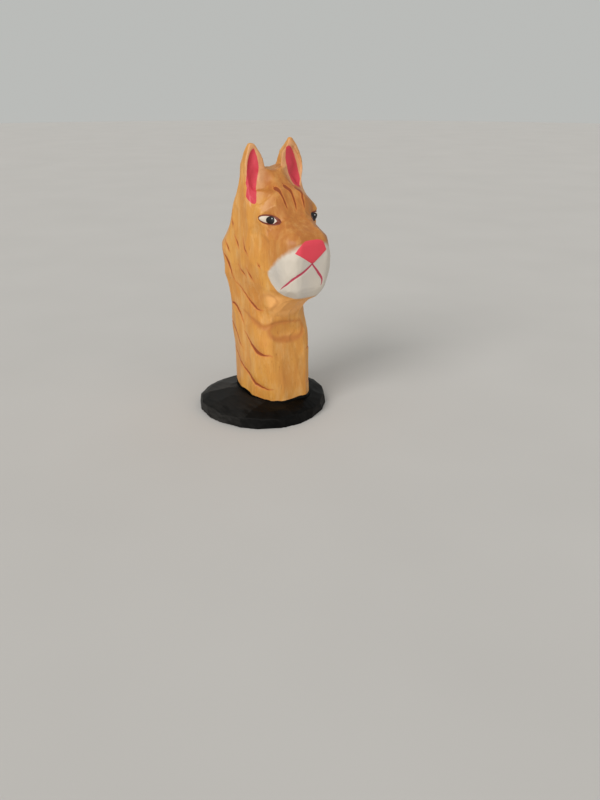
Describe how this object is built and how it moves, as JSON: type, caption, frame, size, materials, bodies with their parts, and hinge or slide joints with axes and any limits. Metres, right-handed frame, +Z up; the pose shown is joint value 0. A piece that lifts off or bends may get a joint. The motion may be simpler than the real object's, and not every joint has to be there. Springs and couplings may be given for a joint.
{
  "type": "eyeglasses display stand",
  "caption": "Carved wooden stand that holds a pair of glasses: a painted cat's head on a tall faceted neck, standing on a round black base.",
  "frame": {"origin": "on the underside of the base, straight below the middle of the neck", "axes": "+Z up, the cat faces -Y, and X = 0 is the carving's plane of symmetry"},
  "size_m": [0.0711, 0.0753, 0.1406],
  "materials": {
    "carved_wood": "stained and hand-painted under a satin lacquer",
    "base_paint": "black satin paint on hand-cut wood",
    "screw_steel": "zinc-plated"
  },
  "bodies": {
    "root": {"head_and_neck": "carved_wood", "base": "base_paint", "base_screw_front": "screw_steel", "base_screw_back": "screw_steel"}
  },
  "joints": []
}
